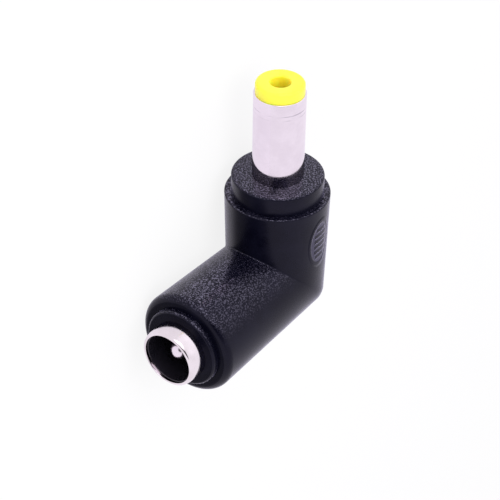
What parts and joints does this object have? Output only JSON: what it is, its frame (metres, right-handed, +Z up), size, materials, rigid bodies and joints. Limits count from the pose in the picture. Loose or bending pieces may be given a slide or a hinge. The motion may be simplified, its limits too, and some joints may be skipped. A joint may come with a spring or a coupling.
{
  "type": "right-angle barrel plug adaptor",
  "caption": "Right-angle low-voltage power adaptor: a moulded black elbow with a male barrel plug on one arm and the matching female jack on the other.",
  "frame": {"origin": "middle of the bounding box's base, on the plane that the adaptor lies on", "axes": "-Y along the plug's axis toward its tip, +X along the jack's axis toward its mouth, +Z up, square to both arms"},
  "size_m": [0.0246, 0.0302, 0.0115],
  "materials": {
    "moulding": "fine spark-eroded grain",
    "black_insulator": "smooth",
    "yellow_insulator": "smooth",
    "nickel": "bright nickel plate",
    "bronze": "spring strip",
    "copper": "tinned strands",
    "solder": "flowed solder",
    "red_insulation": "smooth",
    "black_insulation": "smooth"
  },
  "bodies": {
    "root": {"elbow_body": "moulding", "plug_barrel": "nickel", "plug_tip_insulator": "yellow_insulator", "plug_centre_contact": "nickel", "plug_sleeve_lug": "nickel", "plug_rear_washer": "black_insulator", "jack_shell": "nickel", "jack_housing": "black_insulator", "jack_centre_pin": "nickel", "jack_spring_contact": "bronze", "jack_rear_disc": "black_insulator", "jack_pin_lug": "nickel", "centre_wire_core": "copper", "centre_wire_jacket": "red_insulation", "sleeve_wire_core": "copper", "sleeve_wire_jacket": "black_insulation", "solder_plug_centre": "solder", "solder_plug_sleeve": "solder", "solder_jack_centre": "solder", "solder_jack_sleeve": "solder"}
  },
  "joints": []
}
